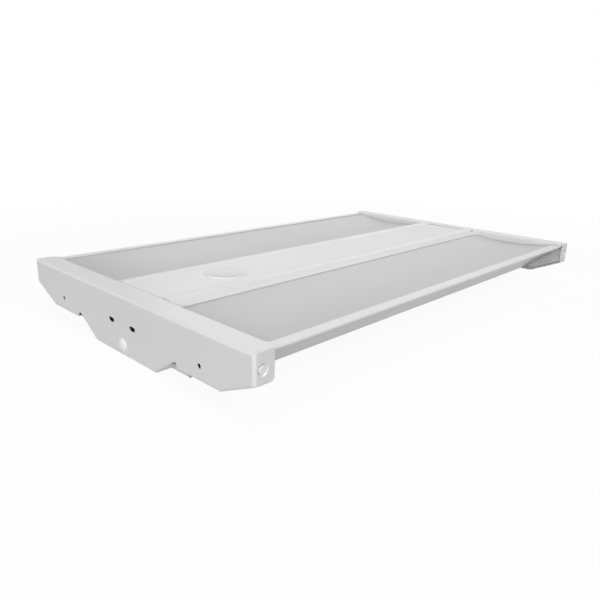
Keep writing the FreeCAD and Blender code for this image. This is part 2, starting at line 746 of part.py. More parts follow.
def sensor_hole_plug():
    """Blanking plug in the cover's sensor hole: thin disc with a raised rim and a skirt."""
    rim = SENSOR_RIM_R
    inside = SENSOR_HOLE_R - HOLE_CLEAR
    profile = [
        (0, SENSOR_DISC_T),
        (rim - 4 * SENSOR_RIM_T, SENSOR_DISC_T),
        (rim - 3 * SENSOR_RIM_T, SENSOR_RIM_T),
        (rim - SENSOR_RIM_T, SENSOR_RIM_T),
        (rim, SENSOR_RIM_T / 4),
        (rim, 0),
        (inside, 0),
        (inside, -SENSOR_SKIRT),
        (inside - SHEET_T, -SENSOR_SKIRT),
        (inside - SHEET_T, 0),
        (0, 0),
    ]
    return turned(profile, V(SENSOR_X, 0, COVER_TOP), V(0, 0, 1), V(1, 0, 0))


def cover_clips():
    """Spring clips under the cover that grip the rails' walls."""
    z = COVER_TOP - SHEET_T - CLIP_T
    y = RAIL_HALF - END_GAP - CLIP_T
    section = [(CLIP_REACH, z), (y, z), (y, z - CLIP_DROP), (y - CLIP_CURL, z - CLIP_DROP - CLIP_CURL)]
    face = folded_section(section, CLIP_T, CLIP_T, across(CLIP_X - CLIP_WIDTH / 2))
    return group(four_corners(face.extrude(V(CLIP_WIDTH, 0, 0))))


# ---- Driver box ----------------------------------------------------------------------------------

def stud_places():
    """Middle of each stud that stands on the box's floor."""
    reach = (DRIVER_LENGTH + DRIVER_FOOT) / 2
    return [(DRIVER_X - reach, 0), (DRIVER_X + reach, 0), (EARTH_X, EARTH_Y)]


def driver_box():
    """Folded tray on the housing's back, with its ends turned up, studs and a cable entry."""
    section = [
        (BOX_HALF - BOX_LIP, BOX_TOP),
        (BOX_HALF, BOX_TOP),
        (BOX_HALF, 0),
        (-BOX_HALF, 0),
        (-BOX_HALF, BOX_TOP),
        (BOX_LIP - BOX_HALF, BOX_TOP),
    ]
    section.reverse()
    tray = folded_section(section, SHEET_T, SHEET_BEND, across(-BOX_END)).extrude(V(2 * BOX_END, 0, 0))
    bend = SHEET_BEND + SHEET_T
    inside = BOX_HALF - bend
    flap_path = [(-BOX_END + bend, 0), (-BOX_END, 0), (-BOX_END, BOX_TOP), (-BOX_END + BOX_LIP / 2, BOX_TOP)]
    flap_path.reverse()
    flap = folded_section(flap_path, SHEET_T, SHEET_BEND, along(-inside)).extrude(V(0, 2 * inside, 0))
    end_seat = box(-BOX_END - 1, -BOX_END + bend, -inside, inside, -1, 2 * SHEET_T)
    lip_gap = box(-BOX_END - 1, -BOX_END + BOX_LIP / 2 + SLIT, -BOX_HALF + bend, BOX_HALF - bend,
                  BOX_TOP - 2 * SHEET_T, BOX_TOP + 1)
    entry = upright(ENTRY_R, 3 * SHEET_T, ENTRY_X, 0, -SHEET_T)
    tools = both_ends(end_seat) + both_ends(lip_gap) + [entry]
    tools += [upright(SCREW_R + HOLE_CLEAR, 3 * SHEET_T, x, y, BOX_TOP - 2 * SHEET_T)
              for x, y in frame_screw_places()]
    studs = [upright(STUD_R, STUD_HEIGHT + DRIVER_FOOT_T, x, y, SHEET_T / 2) for x, y in stud_places()]
    return cut_all(tray, tools).multiFuse(both_ends(flap) + studs).removeSplitter()


def led_driver():
    """Driver case with a foot at each end, on the box's floor."""
    half, side = DRIVER_LENGTH / 2, DRIVER_WIDTH / 2
    case = box(DRIVER_X - half, DRIVER_X + half, -side, side, SHEET_T, SHEET_T + DRIVER_HEIGHT)
    ridges = [e for e in case.Edges if e.CenterOfMass.z > SHEET_T + DRIVER_HEIGHT - 1
              and abs(e.CenterOfMass.y) > side - 1]
    case = case.makeFillet(DRIVER_EDGE, ridges)
    foot = box(DRIVER_X - half - DRIVER_FOOT, DRIVER_X + half + DRIVER_FOOT, -side / 2, side / 2,
               SHEET_T, SHEET_T + DRIVER_FOOT_T)
    holes = [upright(STUD_R + HOLE_CLEAR, 3 * DRIVER_FOOT_T, x, y, 0) for x, y in stud_places()[:2]]
    return cut_all(case.fuse(foot).removeSplitter(), holes)


def hex_nut(x, y, z):
    """Hexagon nut round a stud."""
    corner = NUT_FLATS / math.sqrt(3)
    points = [V(x + corner * math.cos(math.radians(a)), y + corner * math.sin(math.radians(a)), z)
              for a in range(0, 360, 60)]
    nut = polygon(points).extrude(V(0, 0, NUT_HEIGHT))
    return nut.cut(upright(STUD_R + HOLE_CLEAR, NUT_HEIGHT + 2, x, y, z - 1))


def driver_nuts():
    """Nuts on the studs through the driver's feet."""
    return group([hex_nut(x, y, SHEET_T + DRIVER_FOOT_T) for x, y in stud_places()[:2]])


def earth_nut():
    """Nut on the earth stud."""
    x, y = stud_places()[2]
    return hex_nut(x, y, SHEET_T)


def terminal_block():
    """Mains terminal block, with a clamp well for each way."""
    length, width, height = TERMINAL_SIZE
    block = box(TERMINAL_X - length / 2, TERMINAL_X + length / 2, TERMINAL_Y - width / 2,
                TERMINAL_Y + width / 2, SHEET_T, SHEET_T + height)
    pitch = width / TERMINAL_WAYS
    wells = []
    for i in range(TERMINAL_WAYS):
        y = TERMINAL_Y + (i - (TERMINAL_WAYS - 1) / 2) * pitch
        wells.append(upright(TERMINAL_HOLE_R, height, TERMINAL_X, y, SHEET_T + height / 2))
    return cut_all(block, wells)


# ---- LED boards ----------------------------------------------------------------------------------

def board_centre():
    """Distance of each board's middle from the light's middle."""
    return (BOARD_LENGTH + BOARD_GAP) / 2


def led_board(end, side):
    """Board on the housing's floor, at one end and on one side of the light."""
    x = end * board_centre()
    y = side * BOARD_Y
    half, wide = BOARD_LENGTH / 2, BOARD_WIDTH / 2
    board = box(x - half, x + half, y - wide, y + wide, FLOOR_TOP, FLOOR_TOP + BOARD_T)
    return cut_all(board, screw_holes(FLOOR_TOP, BOARD_T))


def led_chips(side):
    """Two rows of LEDs on each of one side's boards."""
    half = CHIP_SIZE / 2
    z = FLOOR_TOP + BOARD_T
    chips = []
    for end in (-1, 1):
        for i in range(CHIPS_IN_ROW):
            x = end * board_centre() + (i - (CHIPS_IN_ROW - 1) / 2) * CHIP_PITCH
            for row in (-CHIP_ROW_Y, CHIP_ROW_Y):
                y = side * BOARD_Y + row
                chips.append(box(x - half, x + half, y - half, y + half, z, z + CHIP_T))
    return group(chips)


def board_block(x, y, size):
    """Moulded connector standing on the boards."""
    length, width, height = size
    z = FLOOR_TOP + BOARD_T
    return box(x - length / 2, x + length / 2, y - width / 2, y + width / 2, z, z + height)


def board_links():
    """Connectors that bridge the two boards of each side."""
    return group(both_sides(board_block(0, BOARD_Y, LINK_SIZE)))


def output_x():
    """Where the output leads cross the rails."""
    return DRIVER_X + DRIVER_LENGTH / 2 + OUTPUT_LEAD_OUT


def board_connectors():
    """Connectors that take the driver's output leads."""
    y = BOARD_Y - BOARD_WIDTH / 2 + CONNECTOR_SIZE[1] / 2
    return group(both_sides(board_block(output_x(), y, CONNECTOR_SIZE)))


# ---- Leads ---------------------------------------------------------------------------------------

def lead(points, radius):
    """Lead along straight runs joined by tangent bends, its jacket drawn with a few flat sides."""
    path = Part.Wire(rounded_path(points, [LEAD_BEND] * (len(points) - 2)))
    start = points[0]
    side = V(0, radius, 0)
    up = V(0, 0, radius)
    ring = []
    for i in range(LEAD_SIDES + 1):
        turn = 2 * math.pi * i / LEAD_SIDES
        ring.append(start + side * math.cos(turn) + up * math.sin(turn))
    return path.makePipeShell([Part.makePolygon(ring)], True, False)


def mains_lead():
    """Lead from the terminal block to the driver's near end."""
    start = V(TERMINAL_X + TERMINAL_SIZE[0] / 2, TERMINAL_Y, SHEET_T + TERMINAL_SIZE[2] / 2)
    end = V(DRIVER_X - DRIVER_LENGTH / 2, 0, SHEET_T + DRIVER_HEIGHT / 2)
    run = V((end.x - start.x) / 4, 0, 0)
    return lead([start, start + run, end - run, end], MAINS_LEAD_R)


def output_lead():
    """Lead from the driver's far end, out through the left rail and down to its board."""
    start = V(DRIVER_X + DRIVER_LENGTH / 2, OUTPUT_LEAD_Y, OUTPUT_LEAD_Z)
    wall = V(output_x(), RAIL_HALF, GROMMET_Z)
    board = V(output_x(), BOARD_Y - BOARD_WIDTH / 2, FLOOR_TOP + BOARD_T + CONNECTOR_SIZE[2] / 2)
    run = V(0, OUTPUT_LEAD_RUN, 0)
    points = [start, start + V(OUTPUT_LEAD_RUN, 0, 0), wall - run, wall + run, board - run, board]
    return lead(points, OUTPUT_LEAD_R)


def grommet_bore(radius):
    """Round way through the left rail's wall."""
    return Part.makeCylinder(radius, SHEET_T + 2, V(output_x(), RAIL_HALF - 1, GROMMET_Z), V(0, 1, 0))


def lead_grommets():
    """Rubber bushes round the output leads in the rails' walls."""
    bore = OUTPUT_LEAD_R + HOLE_CLEAR
    neck = GROMMET_R - HOLE_CLEAR / 2
    rim = GROMMET_R + GROMMET_LIP
    profile = [
        (bore, -GROMMET_LIP),
        (rim, -GROMMET_LIP),
        (rim, 0),
        (neck, 0),
        (neck, SHEET_T),
        (rim, SHEET_T),
        (rim, SHEET_T + GROMMET_LIP),
        (bore, SHEET_T + GROMMET_LIP),
    ]
    return group(both_sides(turned(profile, V(output_x(), RAIL_HALF, GROMMET_Z), V(0, 1, 0), V(1, 0, 0))))


# ---- The light -----------------------------------------------------------------------------------

def build():
    """Every node of the light by name."""
    lens_left, lens_right = both_sides(lens())
    rail_left, rail_right = both_sides(lens_rail())
    cap_near, cap_far = both_ends(end_cap())
    plug_near, plug_far = both_ends(hole_plug())
    lead_left, lead_right = both_sides(output_lead())
    nodes = {
        "housing": housing(),
        "end_cap_near": cap_near,
        "end_cap_far": cap_far,
        "driver_box": driver_box(),
        "driver_cover": driver_cover(),
        "sensor_hole_plug": sensor_hole_plug(),
        "cover_clips": cover_clips(),
        "lens_left": lens_left,
        "lens_right": lens_right,
        "lens_rail_left": rail_left,
        "lens_rail_right": rail_right,
        "end_brackets": end_brackets(),
        "hole_plug_near": plug_near,
        "hole_plug_far": plug_far,
        "led_driver": led_driver(),
        "driver_nuts": driver_nuts(),
        "terminal_block": terminal_block(),
        "earth_nut": earth_nut(),
        "mains_lead": mains_lead(),
        "output_lead_left": lead_left,
        "output_lead_right": lead_right,
        "lead_grommets": lead_grommets(),
        "board_links": board_links(),
        "board_connectors": board_connectors(),
        "led_chips_left": led_chips(1),
        "led_chips_right": led_chips(-1),
        "board_screws": board_screws(),
        "frame_screws": frame_screws(),
        "cap_screws": cap_screws(),
        "corner_screws": corner_screws(),
    }
    for end_name, end in (("near", -1), ("far", 1)):
        for side_name, side in (("left", 1), ("right", -1)):
            nodes["led_board_" + side_name + "_" + end_name] = led_board(end, side)
    return nodes


def main():
    """Writes one STEP file for each node."""
    os.makedirs("parts", exist_ok=True)
    for name, shape in build().items():
        shape.exportStep("parts/" + name + ".step")


main()
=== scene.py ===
"""Finishes and fine pieces of a linear LED high bay, and the studio that shows it."""
import json
import math

import bmesh
import bpy
from bpy.props import FloatProperty, FloatVectorProperty, IntProperty, PointerProperty
from bpy.types import Operator, Panel, PropertyGroup
from mathutils import Matrix, Vector

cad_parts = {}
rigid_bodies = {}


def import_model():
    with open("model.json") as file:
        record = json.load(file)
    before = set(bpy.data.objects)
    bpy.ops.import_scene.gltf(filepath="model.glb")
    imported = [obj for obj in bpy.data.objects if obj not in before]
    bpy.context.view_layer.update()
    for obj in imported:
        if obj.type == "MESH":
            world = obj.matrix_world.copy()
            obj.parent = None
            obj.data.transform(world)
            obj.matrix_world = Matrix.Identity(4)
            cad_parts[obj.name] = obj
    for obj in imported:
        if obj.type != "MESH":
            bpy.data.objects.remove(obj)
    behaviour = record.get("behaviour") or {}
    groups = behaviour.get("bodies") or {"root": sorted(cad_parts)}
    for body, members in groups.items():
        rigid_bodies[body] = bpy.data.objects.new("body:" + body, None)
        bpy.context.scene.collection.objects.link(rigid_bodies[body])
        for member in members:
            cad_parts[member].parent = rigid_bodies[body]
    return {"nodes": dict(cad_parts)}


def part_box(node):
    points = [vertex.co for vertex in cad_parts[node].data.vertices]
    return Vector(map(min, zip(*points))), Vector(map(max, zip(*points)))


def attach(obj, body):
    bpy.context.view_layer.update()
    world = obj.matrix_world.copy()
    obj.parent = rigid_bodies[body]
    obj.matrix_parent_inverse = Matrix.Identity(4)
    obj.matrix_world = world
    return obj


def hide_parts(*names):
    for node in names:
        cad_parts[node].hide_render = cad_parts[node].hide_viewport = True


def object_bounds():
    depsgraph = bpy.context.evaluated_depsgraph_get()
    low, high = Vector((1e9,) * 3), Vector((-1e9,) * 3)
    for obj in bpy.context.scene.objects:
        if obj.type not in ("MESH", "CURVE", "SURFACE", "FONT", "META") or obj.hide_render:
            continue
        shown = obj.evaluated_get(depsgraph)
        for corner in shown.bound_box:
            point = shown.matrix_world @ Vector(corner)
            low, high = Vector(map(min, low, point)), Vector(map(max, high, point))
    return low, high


bl_info = {
    "name": "Linear High Bay",
    "version": (1, 0, 0),
    "blender": (4, 5, 0),
    "location": "3D View > Sidebar > High Bay",
    "description": "Finishes a folded-steel linear high bay light and sets a studio round it",
    "category": "Object",
}

for spare in list(bpy.data.objects):
    bpy.data.objects.remove(spare)
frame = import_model()
CAD_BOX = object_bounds()

MM = 0.001
SMOOTH_ANGLE = math.radians(38)
WELD = 0.001 * MM               # points closer than this become one
NODE_GRID = (200, -180)         # spacing of shader nodes on screen
PAINTED = ("housing", "end_cap_near", "end_cap_far", "driver_box", "driver_cover",
           "lens_rail_left", "lens_rail_right")
PLATED = ("end_brackets", "cover_clips", "driver_nuts", "earth_nut", "frame_screws", "board_screws")
BOARDS = ("led_board_left_near", "led_board_left_far",
          "led_board_right_near", "led_board_right_far")
LEADS = ("mains_lead", "output_lead_left", "output_lead_right")
NYLON_PIECES = ("terminal_block", "board_links", "board_connectors")

# Colours of the parts inside, each with the colour of its worn edges
SOLDER_MASK, MASK_EDGE = (0.82, 0.83, 0.81), (0.55, 0.50, 0.36)
PHOSPHOR, PHOSPHOR_EDGE = (0.86, 0.72, 0.18), (0.90, 0.88, 0.80)
ALUMINIUM, ALUMINIUM_EDGE = (0.72, 0.72, 0.71), (0.55, 0.55, 0.55)
NYLON, NYLON_EDGE = (0.78, 0.77, 0.72), (0.88, 0.87, 0.84)
JACKET, JACKET_EDGE = (0.05, 0.05, 0.05), (0.12, 0.12, 0.12)
RUBBER, RUBBER_EDGE = (0.03, 0.03, 0.03), (0.08, 0.08, 0.08)

# Domed hole plug
DOME_RIM = 0.8 * MM             # thin edge at the foot of the dome
DOME_HEIGHT = 3 * MM
STEM_SHARE = 0.69               # stem's radius as a share of the dome's
STEM_WALL = 1 * MM
STEM_TAPER = 0.5 * MM           # lead-in at the stem's end

# Sensor hole plug
DISC_TOP = 1 * MM               # height of the raised rim over the cover
DISC_BEAD = 1.7 * MM            # radius of the rim's round
DISC_STEP = 4.4 * MM            # width of the raised rim
DISC_WEB = 0.4 * MM             # depth of the disc's underside below the rim's foot
SKIRT_INSET = 3.65 * MM         # from the rim's edge to the skirt
SKIRT_WALL = 0.8 * MM
ARC_STEPS = 10

# Outer screws: the first two are shares of the head's height, the next three of its radius
CROWN = 0.45                    # drop from the middle of a head to its edge
HEAD_SIDE = 0.55                # straight side of a head
CROSS_REACH = 0.55              # half length of the recess's arms
CROSS_HALF = 0.2                # half width of the arms
CROSS_SLOPE = 0.05              # lean of the recess's walls
HEAD_GRID = 8                   # divisions across a head
CORNER_SHANK, CORNER_LENGTH = 2 * MM, 4.7 * MM
CAP_SHANK = 1.5 * MM

# Studio
SQUARE_LAMP = (1.6, 1.6)
FRONT_PANEL = (1.4, 0.8)
REAR_PANEL = (2.2, 1.1)
FLOOR_REACH = 6
SHADE_NEAR, SHADE_FAR = 0.45, 1.1   # distances between which the floor's own shading fades out
FILM_WIDTH = 36


# ---- Settings ------------------------------------------------------------------------------------

class HighBayFinish(PropertyGroup):
    """Colours and surface of the painted steel, the lenses and the mouldings."""
    paint: FloatVectorProperty(
        name="Paint", description="Powder coat on the sheet metal",
        subtype="COLOR", size=3, min=0, max=1, default=(0.80, 0.80, 0.80))
    paint_roughness: FloatProperty(
        name="Paint Roughness", description="How matt the powder coat is",
        subtype="FACTOR", min=0, max=1, default=0.34)
    paint_grain: FloatProperty(
        name="Paint Grain", description="Width of one dimple in the powder coat",
        unit="LENGTH", min=0.0002, max=0.01, default=0.0016)
    lens: FloatVectorProperty(
        name="Lens", description="Frosted acrylic with the light switched off",
        subtype="COLOR", size=3, min=0, max=1, default=(0.56, 0.56, 0.56))
    lens_roughness: FloatProperty(
        name="Lens Roughness", description="How much the frosting scatters a reflection",
        subtype="FACTOR", min=0, max=1, default=0.38)
    plastic: FloatVectorProperty(
        name="Plugs", description="White moulded plastic of the hole plugs",
        subtype="COLOR", size=3, min=0, max=1, default=(0.90, 0.90, 0.90))
    disc: FloatVectorProperty(
        name="Sensor Plug", description="White moulded plastic of the plug in the cover",
        subtype="COLOR", size=3, min=0, max=1, default=(0.78, 0.78, 0.78))
    screw: FloatVectorProperty(
        name="Screws", description="Painted heads of the outer screws",
        subtype="COLOR", size=3, min=0, max=1, default=(0.93, 0.93, 0.93))
    zinc: FloatVectorProperty(
        name="Zinc", description="Zinc plating on brackets, clips, nuts and inner screws",
        subtype="COLOR", size=3, min=0, max=1, default=(0.62, 0.63, 0.64))


class HighBayShape(PropertyGroup):
    """Sizes of the pieces that are modelled here on the places of the CAD ones."""
    lens_margin: FloatProperty(
        name="Lens Margin", description="Flat edge of the lens that the channels hold",
        unit="LENGTH", min=0.001, max=0.02, default=0.008)
    lens_thickness: FloatProperty(
        name="Lens Thickness", description="Thickness of the frosted sheet",
        unit="LENGTH", min=0.0005, max=0.004, default=0.0015)
    lens_drop: FloatProperty(
        name="Lens Drop", description="How much lower the inner margin sits than the outer one",
        unit="LENGTH", min=0, max=0.01, default=0.0026)
    lens_steps: IntProperty(
        name="Lens Steps", description="Divisions across the dished face",
        min=6, max=96, default=40)
    pan_head: FloatProperty(
        name="Pan Head", description="Radius of the upright screws' heads",
        unit="LENGTH", min=0.001, max=0.006, default=0.0028)
    pan_height: FloatProperty(
        name="Pan Height", description="Height of the upright screws' heads",
        unit="LENGTH", min=0.0005, max=0.004, default=0.0016)
    corner_height: FloatProperty(
        name="Corner Head Height", description="Height of the low heads in the corner dimples",
        unit="LENGTH", min=0.0005, max=0.004, default=0.0013)
    recess: FloatProperty(
        name="Recess Depth", description="Depth of the cross recess in a screw's head",
        unit="LENGTH", min=0.0001, max=0.002, default=0.0009)
    turn_steps: IntProperty(
        name="Turning Steps", description="Divisions round a turned piece",
        min=12, max=128, default=64)


class HighBayStudio(PropertyGroup):
    """Camera, lamps and floor."""
    camera_place: FloatVectorProperty(
        name="Camera", description="Where the camera stands",
        subtype="TRANSLATION", unit="LENGTH", size=3, default=(-0.5443, -0.4545, 0.2158))
    camera_heading: FloatProperty(
        name="Heading", description="Turn of the view from +X towards +Y",
        subtype="ANGLE", default=math.radians(43.27))
    camera_pitch: FloatProperty(
        name="Pitch", description="How far the view looks down",
        subtype="ANGLE", default=math.radians(17.62))
    camera_roll: FloatProperty(
        name="Roll", description="Turn of the camera about its own axis",
        subtype="ANGLE", default=math.radians(1.78))
    focal_length: FloatProperty(
        name="Focal Length", description="Focal length in millimetres",
        min=10, max=200, default=34.05)
    sky: FloatProperty(
        name="Sky", description="Level of the even light from all round",
        min=0, max=2, default=0.10)
    key_place: FloatVectorProperty(
        name="Key Place", description="Where the large lamp high on the right stands",
        subtype="TRANSLATION", unit="LENGTH", size=3, default=(-0.6, -2.8, 2.6))
    key_power: FloatProperty(
        name="Key", description="Power of the large lamp high on the right",
        unit="POWER", min=0, max=500, default=73)
    top_place: FloatVectorProperty(
        name="Top Place", description="Where the lamp overhead hangs",
        subtype="TRANSLATION", unit="LENGTH", size=3, default=(0.0, 0.0, 3.2))
    top_power: FloatProperty(
        name="Top", description="Power of the lamp overhead",
        unit="POWER", min=0, max=500, default=16)
    front_place: FloatVectorProperty(
        name="Front Place", description="Where the low panel before the near end cap stands",
        subtype="TRANSLATION", unit="LENGTH", size=3, default=(-2.4, -0.9, 0.55))
    front_power: FloatProperty(
        name="Front", description="Power of the low panel before the near end cap",
        unit="POWER", min=0, max=500, default=31)
    rear_place: FloatVectorProperty(
        name="Rear Place", description="Where the soft panel behind stands",
        subtype="TRANSLATION", unit="LENGTH", size=3, default=(1.75, 1.45, 1.25))
    rear_power: FloatProperty(
        name="Rear", description="Power of the soft panel behind, whose sheen lies on the lenses",
        unit="POWER", min=0, max=500, default=8)
    floor: FloatVectorProperty(
        name="Floor", description="Colour of the floor",
        subtype="COLOR", size=3, min=0, max=1, default=(0.94, 0.94, 0.94))
    bounce: FloatVectorProperty(
        name="Floor Bounce", description="Colour that the floor throws back onto the light",
        subtype="COLOR", size=3, min=0, max=1, default=(0.33, 0.33, 0.33))
    shadow: FloatProperty(
        name="Shadow", description="How much of the floor's own shading shows in the view",
        subtype="FACTOR", min=0, max=1, default=0.06)


# ---- Node groups and materials -------------------------------------------------------------------

def add_node(tree, kind, at, **values):
    """Adds a node at a grid place and sets its inputs by name."""
    node = tree.nodes.new(kind)
    node.location = (at[0] * NODE_GRID[0], at[1] * NODE_GRID[1])
    for name, value in values.items():
        node.inputs[name.replace("_", " ")].default_value = value
    return node


def new_group(name, inputs, outputs):
    """An empty shader group with its sockets, or None with the group if it was built before."""
    if name in bpy.data.node_groups:
        return None, bpy.data.node_groups[name]
    tree = bpy.data.node_groups.new(name, "ShaderNodeTree")
    for label, kind, default in inputs:
        socket = tree.interface.new_socket(label, in_out="INPUT", socket_type="NodeSocket" + kind)
        socket.default_value = default
    for label, kind in outputs:
        tree.interface.new_socket(label, in_out="OUTPUT", socket_type="NodeSocket" + kind)
    return tree, tree


def ease(tree, at, value, low, high, to_low, to_high):
    """Maps a value smoothly from one range to another."""
    node = add_node(tree, "ShaderNodeMapRange", at)
    node.interpolation_type = "SMOOTHSTEP"
    limits = (("From Min", low), ("From Max", high), ("To Min", to_low), ("To Max", to_high))
    for name, number in limits:
        node.inputs[name].default_value = number
    tree.links.new(value, node.inputs["Value"])
    return node.outputs["Result"]


def times(tree, at, a, b):
    """Multiplies two values."""
    node = add_node(tree, "ShaderNodeMath", at)
    node.operation = "MULTIPLY"
    tree.links.new(a, node.inputs[0])
    tree.links.new(b, node.inputs[1])
    return node.outputs[0]


def either(tree, at, values):
    """The largest of several values."""
    top = values[0]
    for i, value in enumerate(values[1:]):
        node = add_node(tree, "ShaderNodeMath", (at[0] + i, at[1]))
        node.operation = "MAXIMUM"
        tree.links.new(top, node.inputs[0])
        tree.links.new(value, node.inputs[1])
        top = node.outputs[0]
    return top


def coat_grain():
    """Fine dimples of a sprayed or moulded skin, with soft patches of tone and gloss."""
    tree, group = new_group("Coat Grain", [
        ("Color", "Color", (0.8, 0.8, 0.8, 1)),
        ("Grain", "Float", 600.0),
        ("Roughness", "Float", 0.4),
        ("Patchiness", "Float", 0.5),
    ], [("Color", "Color"), ("Roughness", "Float"), ("Height", "Float")])
    if tree is None:
        return group
    start = add_node(tree, "NodeGroupInput", (0, 0))
    finish = add_node(tree, "NodeGroupOutput", (6, 0))
    place = add_node(tree, "ShaderNodeTexCoord", (0, 2))
    grain = add_node(tree, "ShaderNodeTexNoise", (1, 1), Detail=2.0, Roughness=0.45)
    tree.links.new(place.outputs["Object"], grain.inputs["Vector"])
    tree.links.new(start.outputs["Grain"], grain.inputs["Scale"])
    patches = add_node(tree, "ShaderNodeTexNoise", (1, 3), Scale=9.0, Detail=3.0, Roughness=0.55)
    tree.links.new(place.outputs["Object"], patches.inputs["Vector"])
    specks = add_node(tree, "ShaderNodeTexNoise", (1, 4), Scale=2400.0, Detail=1.0)
    tree.links.new(place.outputs["Object"], specks.inputs["Vector"])

    patch = ease(tree, (2, 3), patches.outputs["Fac"], 0.3, 0.7, 0.0, 1.0)
    uneven = times(tree, (3, 3), patch, start.outputs["Patchiness"])
    tone = ease(tree, (4, 3), uneven, 0.0, 1.0, 1.0, 0.965)
    speck = ease(tree, (2, 4), specks.outputs["Fac"], 0.3, 0.7, 0.985, 1.0)
    shade = times(tree, (5, 3), tone, speck)
    colour = add_node(tree, "ShaderNodeVectorMath", (5, 1))
    colour.operation = "SCALE"
    tree.links.new(start.outputs["Color"], colour.inputs[0])
    tree.links.new(shade, colour.inputs["Scale"])
    tree.links.new(colour.outputs[0], finish.inputs["Color"])

    gloss = ease(tree, (4, 2), uneven, 0.0, 1.0, 0.94, 1.10)
    roughness = times(tree, (5, 2), start.outputs["Roughness"], gloss)
    tree.links.new(roughness, finish.inputs["Roughness"])
    tree.links.new(grain.outputs["Fac"], finish.inputs["Height"])
    return group


def edge_wear_and_highlight():
    """Mask of a piece's edges, broken up by noise, and the rounded normal there. Where the edge
    colour is a worn tone the mask is wear; where the edge colour is lighter than the coat, as on
    the powder coat, it is a painted highlight along the edges.
    """
    tree, group = new_group("Edge Wear and Highlight", [
        ("Amount", "Float", 0.5),
    ], [("Mask", "Float"), ("Normal", "Vector")])
    if tree is None:
        return group
    start = add_node(tree, "NodeGroupInput", (0, 0))
    finish = add_node(tree, "NodeGroupOutput", (6, 0))
    rounded = add_node(tree, "ShaderNodeBevel", (0, 1), Radius=0.4 * MM)
    rounded.samples = 4
    flat = add_node(tree, "ShaderNodeNewGeometry", (0, 2))
    match = add_node(tree, "ShaderNodeVectorMath", (1, 1))
    match.operation = "DOT_PRODUCT"
    tree.links.new(rounded.outputs["Normal"], match.inputs[0])
    tree.links.new(flat.outputs["Normal"], match.inputs[1])
    edge = ease(tree, (2, 1), match.outputs["Value"], 0.995, 0.80, 0.0, 1.0)
    place = add_node(tree, "ShaderNodeTexCoord", (0, 3))
    breaks = add_node(tree, "ShaderNodeTexNoise", (1, 3), Scale=140.0, Detail=3.0)
    tree.links.new(place.outputs["Object"], breaks.inputs["Vector"])
    broken = ease(tree, (2, 3), breaks.outputs["Fac"], 0.35, 0.65, 0.25, 1.0)
    wear_and_highlight_mask = times(tree, (3, 1), edge, broken)
    tree.links.new(times(tree, (4, 1), wear_and_highlight_mask, start.outputs["Amount"]), finish.inputs["Mask"])
    tree.links.new(rounded.outputs["Normal"], finish.inputs["Normal"])
    return group


def coated_material(name, colour, edge_colour, *, roughness, grain, depth, wear, patchiness=0.5,
                    metallic=0.0, ior=1.47):
    """A coated, moulded or plated finish: grain, soft patches and rounded edges tinted in the edge
    colour, which is faint wear on most finishes and a painted highlight along the powder coat's
    edges, whose edge colour is lighter than the coat.

    Grain is the width of one dimple and depth is how far it sinks.
    """
    material = bpy.data.materials.new(name)
    material.use_nodes = True
    tree = material.node_tree
    tree.nodes.clear()
    output = add_node(tree, "ShaderNodeOutputMaterial", (6, 0))
    shader = add_node(tree, "ShaderNodeBsdfPrincipled", (5, 0), Metallic=metallic, IOR=ior)
    tree.links.new(shader.outputs[0], output.inputs["Surface"])

    skin = add_node(tree, "ShaderNodeGroup", (0, 0))
    skin.node_tree = coat_grain()
    skin.inputs["Color"].default_value = (*colour, 1)
    skin.inputs["Grain"].default_value = 1 / grain
    skin.inputs["Roughness"].default_value = roughness
    skin.inputs["Patchiness"].default_value = patchiness
    edges = add_node(tree, "ShaderNodeGroup", (0, 2))
    edges.node_tree = edge_wear_and_highlight()
    edges.inputs["Amount"].default_value = wear

    mix = add_node(tree, "ShaderNodeMix", (3, 0))
    mix.data_type = "RGBA"
    mix.inputs["B"].default_value = (*edge_colour, 1)
    tree.links.new(edges.outputs["Mask"], mix.inputs["Factor"])
    tree.links.new(skin.outputs["Color"], mix.inputs["A"])
    tree.links.new(mix.outputs["Result"], shader.inputs["Base Color"])
    tree.links.new(skin.outputs["Roughness"], shader.inputs["Roughness"])
    bump = add_node(tree, "ShaderNodeBump", (3, 2), Strength=1.0, Distance=depth)
    tree.links.new(skin.outputs["Height"], bump.inputs["Height"])
    tree.links.new(edges.outputs["Normal"], bump.inputs["Normal"])
    tree.links.new(bump.outputs["Normal"], shader.inputs["Normal"])
    return material


def brighter(colour, share):
    """A colour moved towards white."""
    return tuple(c + (1 - c) * share for c in colour)


def wear_finish(piece, material):
    """Gives a CAD node or a new piece one material all over."""
    piece.data.materials.clear()
    piece.data.materials.append(material)


# ---- Mesh helpers --------------------------------------------------------------------------------

def finish_piece(bm, name, node, material):
    """Makes a piece from a finished bmesh and puts it in its CAD node's place."""
    bmesh.ops.remove_doubles(bm, verts=bm.verts, dist=WELD)
    bmesh.ops.recalc_face_normals(bm, faces=bm.faces)
    mesh = bpy.data.meshes.new(name)
    bm.to_mesh(mesh)
    bm.free()
    mesh.shade_smooth()
    mesh.set_sharp_from_angle(angle=SMOOTH_ANGLE)
    piece = bpy.data.objects.new(name, mesh)
    bpy.context.scene.collection.objects.link(piece)
    wear_finish(piece, material)
    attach(piece, "root")
    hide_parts(node)


def facing(axis, place):
    """Turns a shape that was made along Z to point along an axis, and moves it to a place."""
    return Matrix.Translation(place) @ Vector(axis).to_track_quat("Z", "Y").to_matrix().to_4x4()


def copied_in(bm, source, matrices):
    """Adds a mesh to a bmesh once for each placing."""
    mesh = bpy.data.meshes.new("stamp")
    source.to_mesh(mesh)
    source.free()
    for matrix in matrices:
        copy = bmesh.new()
        copy.from_mesh(mesh)
        copy.transform(matrix)
        placed = bpy.data.meshes.new("placed")
        copy.to_mesh(placed)
        copy.free()
        bm.from_mesh(placed)
        bpy.data.meshes.remove(placed)
    bpy.data.meshes.remove(mesh)


